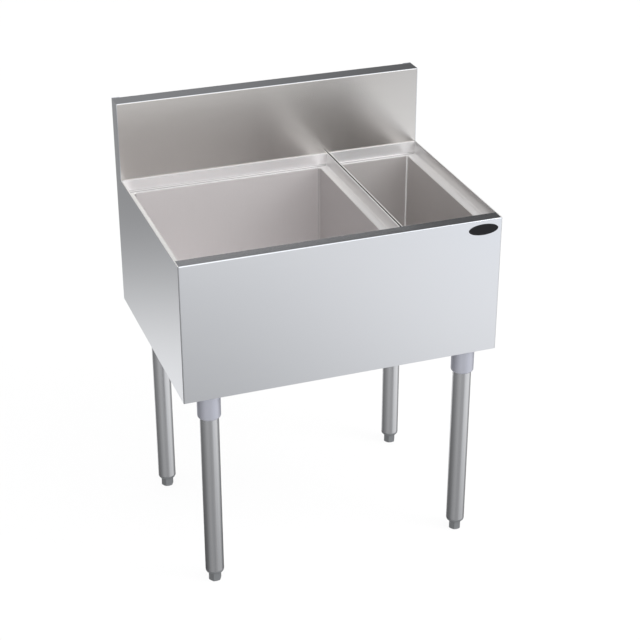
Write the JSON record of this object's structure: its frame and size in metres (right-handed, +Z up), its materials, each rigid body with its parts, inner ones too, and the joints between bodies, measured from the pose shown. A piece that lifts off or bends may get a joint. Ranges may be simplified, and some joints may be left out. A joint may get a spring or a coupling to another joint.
{
  "type": "underbar ice bin",
  "caption": "Stainless underbar cabinet on tube legs, with a wide ice well and a narrow bottle well sunk in its top, and a boxed splash behind.",
  "frame": {"origin": "centre of the outer box in plan, on the floor under the feet", "axes": "+X to the right seen from the front, +Y to the back, towards the splash, +Z up"},
  "size_m": [0.711, 0.5176, 0.976],
  "materials": {
    "casing": "fine brushed stainless sheet",
    "splash": "bright brushed stainless sheet",
    "collar": "brushed stainless sheet",
    "liner": "satin stainless sheet",
    "inner_sheet": "dull rolled stainless sheet",
    "foam": "cream closed-cell foam",
    "rubber": "black rubber washer",
    "drain": "turned stainless",
    "locknut": "plain brass",
    "socket": "matte light grey casting",
    "fastener": "plain stainless",
    "leg": "satin stainless tube",
    "foot": "dull grey machined steel",
    "plate": "dark satin blank plate"
  },
  "bodies": {
    "cabinet": {"front_apron": "casing", "side_panel_left": "casing", "side_panel_right": "casing", "backsplash": "splash", "rear_panel": "inner_sheet", "bottom_pan": "inner_sheet", "ice_well_collar": "collar", "bottle_well_collar": "collar", "ice_well_liner": "liner", "bottle_well_liner": "liner", "ice_well_foam": "foam", "bottle_well_foam": "foam", "leg_rail_front": "inner_sheet", "leg_rail_back": "inner_sheet", "ice_drain_body": "drain", "bottle_drain_body": "drain", "drain_gaskets": "rubber", "drain_locknuts": "locknut", "socket_bolts": "fastener", "socket_nuts": "fastener", "socket_grub_screws": "fastener", "name_plate": "plate", "socket_front_left": "socket", "leg_front_left": "leg", "insert_front_left": "foot", "socket_front_right": "socket", "leg_front_right": "leg", "insert_front_right": "foot", "socket_back_left": "socket", "leg_back_left": "leg", "insert_back_left": "foot", "socket_back_right": "socket", "leg_back_right": "leg", "insert_back_right": "foot"},
    "ice_strainer_plate": {"ice_strainer": "drain"},
    "bottle_strainer_plate": {"bottle_strainer": "drain"},
    "levelling_foot_front_left": {"foot_front_left": "foot"},
    "levelling_foot_front_right": {"foot_front_right": "foot"},
    "levelling_foot_back_left": {"foot_back_left": "foot"},
    "levelling_foot_back_right": {"foot_back_right": "foot"}
  },
  "joints": [
    {"name": "foot_height_front_left", "type": "slide", "parent": "cabinet", "child": "levelling_foot_front_left", "axis": [0, 0, -1], "range_m": [0, 0.025]},
    {"name": "foot_height_front_right", "type": "slide", "parent": "cabinet", "child": "levelling_foot_front_right", "axis": [0, 0, -1], "range_m": [0, 0.025]},
    {"name": "foot_height_back_left", "type": "slide", "parent": "cabinet", "child": "levelling_foot_back_left", "axis": [0, 0, -1], "range_m": [0, 0.025]},
    {"name": "foot_height_back_right", "type": "slide", "parent": "cabinet", "child": "levelling_foot_back_right", "axis": [0, 0, -1], "range_m": [0, 0.025]},
    {"name": "ice_strainer_lift", "type": "slide", "parent": "cabinet", "child": "ice_strainer_plate", "axis": [0, 0, 1], "range_m": [0, 0.32]},
    {"name": "bottle_strainer_lift", "type": "slide", "parent": "cabinet", "child": "bottle_strainer_plate", "axis": [0, 0, 1], "range_m": [0, 0.32]}
  ]
}
